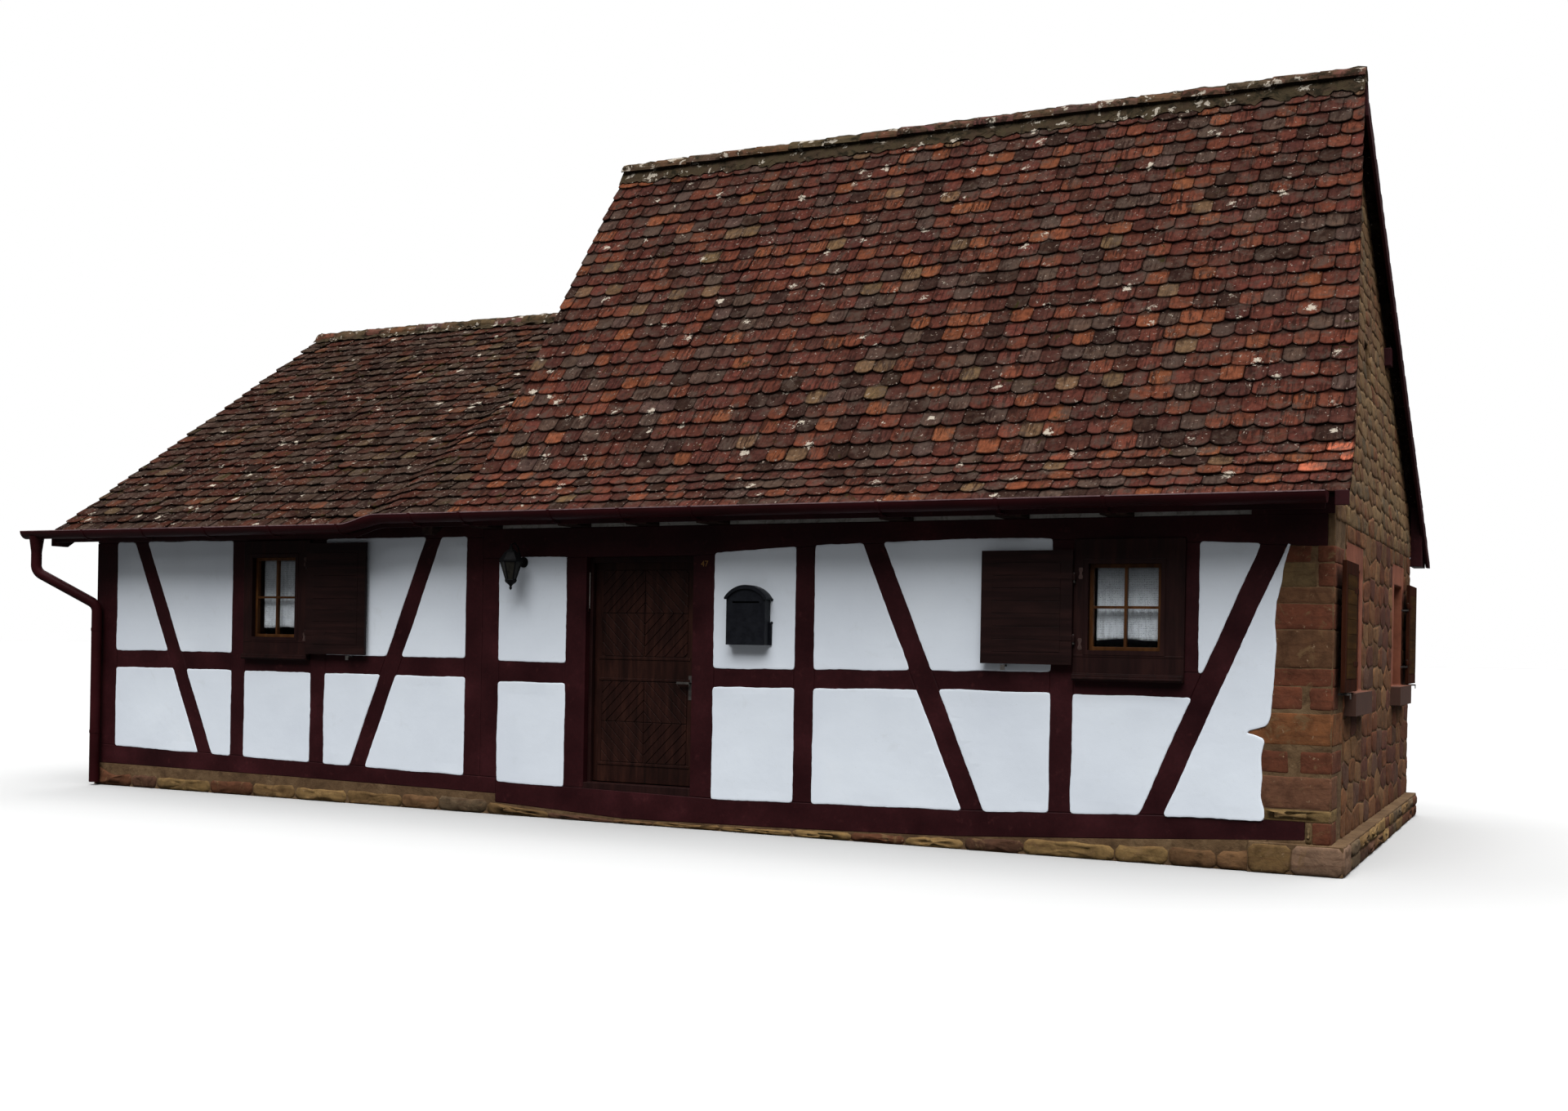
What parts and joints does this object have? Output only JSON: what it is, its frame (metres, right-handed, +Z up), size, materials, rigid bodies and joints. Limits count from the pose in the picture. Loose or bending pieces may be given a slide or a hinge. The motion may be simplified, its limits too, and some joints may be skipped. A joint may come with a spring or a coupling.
{
  "type": "half timbered house",
  "caption": "Small crooked half timbered house with white panels, a steep plain tile roof, a lower side part, a stone gable, shutters and an inward opening front door.",
  "frame": {"origin": "on the ground under the middle of the whole house", "axes": "+X along the front towards the stone gable, +Y from the front into the house, +Z up"},
  "size_m": [12.5986, 5.951, 6.391],
  "materials": {
    "sandstone": "rough",
    "stone_floor": "rough",
    "roof_tiles": "matte",
    "ridge_tiles": "matte",
    "white_plaster": "matte",
    "red_metal": "satin",
    "brown_wood": "satin",
    "ochre_wood": "satin",
    "window_glass": "clear",
    "lace": "matte",
    "grey_iron": "rough",
    "black_metal": "satin",
    "old_timber": "rough",
    "red_timber": "satin"
  },
  "bodies": {
    "house": {"curtains": "lace", "door_frame": "brown_wood", "downpipe": "red_metal", "eave_infill": "white_plaster", "floor": "stone_floor", "front_braces": "red_timber", "front_gutter": "red_metal", "front_rails": "red_timber", "front_sashes": "ochre_wood", "gable_sashes": "ochre_wood", "gable_wall": "sandstone", "gable_window_surrounds": "sandstone", "gutter_brackets": "red_metal", "hinge_pins": "grey_iron", "joists": "old_timber", "left_end_beams": "red_timber", "left_end_panels": "white_plaster", "left_end_posts": "red_timber", "left_front_panels": "white_plaster", "left_front_plate": "red_timber", "left_front_posts": "red_timber", "left_front_rafters": "old_timber", "left_front_sill": "red_timber", "left_front_tiles": "roof_tiles", "left_rear_rafters": "old_timber", "left_rear_tiles": "roof_tiles", "left_ridge": "ridge_tiles", "left_verge_boards": "red_timber", "left_window_casing": "brown_wood", "mailbox": "black_metal", "main_front_panels": "white_plaster", "main_front_plate": "red_timber", "main_front_posts": "red_timber", "main_front_rafters": "old_timber", "main_front_sill": "red_timber", "main_front_tiles": "roof_tiles", "main_rear_rafters": "old_timber", "main_rear_tiles": "roof_tiles", "main_ridge": "ridge_tiles", "middle_gable_panels": "white_plaster", "middle_gable_timbers": "red_timber", "middle_verge_board": "red_timber", "pipe_clips": "red_metal", "plinth": "sandstone", "purlins": "red_timber", "rear_beams": "red_timber", "rear_panels": "white_plaster", "rear_posts": "red_timber", "right_verge_boards": "red_timber", "right_window_casing": "brown_wood", "shutter_holders": "grey_iron", "wall_lantern": "black_metal", "window_glass": "window_glass"},
    "front_door": {"front_door": "brown_wood", "door_handle": "grey_iron"},
    "left_shutter": {"left_shutter": "brown_wood"},
    "right_shutter": {"right_shutter": "brown_wood"},
    "front_gable_shutter": {"front_gable_shutter": "brown_wood"},
    "rear_gable_shutter": {"rear_gable_shutter": "brown_wood"}
  },
  "joints": [
    {"name": "front_door_hinge", "type": "hinge", "parent": "house", "child": "front_door", "pos_m": [0.08867, -2.2935, 0.64], "axis": [0, 0, 1], "range_deg": [0, 95]},
    {"name": "left_shutter_hinge", "type": "hinge", "parent": "house", "child": "left_shutter", "pos_m": [-2.96933, -2.5305, 1.8725], "axis": [0, 0, -1], "range_deg": [0, 180]},
    {"name": "right_shutter_hinge", "type": "hinge", "parent": "house", "child": "right_shutter", "pos_m": [4.34067, -2.5305, 1.83], "axis": [0, 0, 1], "range_deg": [0, 180]},
    {"name": "front_gable_shutter_hinge", "type": "hinge", "parent": "house", "child": "front_gable_shutter", "pos_m": [6.20667, -1.7645, 1.715], "axis": [0, 0, 1], "range_deg": [0, 180]},
    {"name": "rear_gable_shutter_hinge", "type": "hinge", "parent": "house", "child": "rear_gable_shutter", "pos_m": [6.20667, 1.8755, 1.715], "axis": [0, 0, -1], "range_deg": [0, 180]}
  ]
}
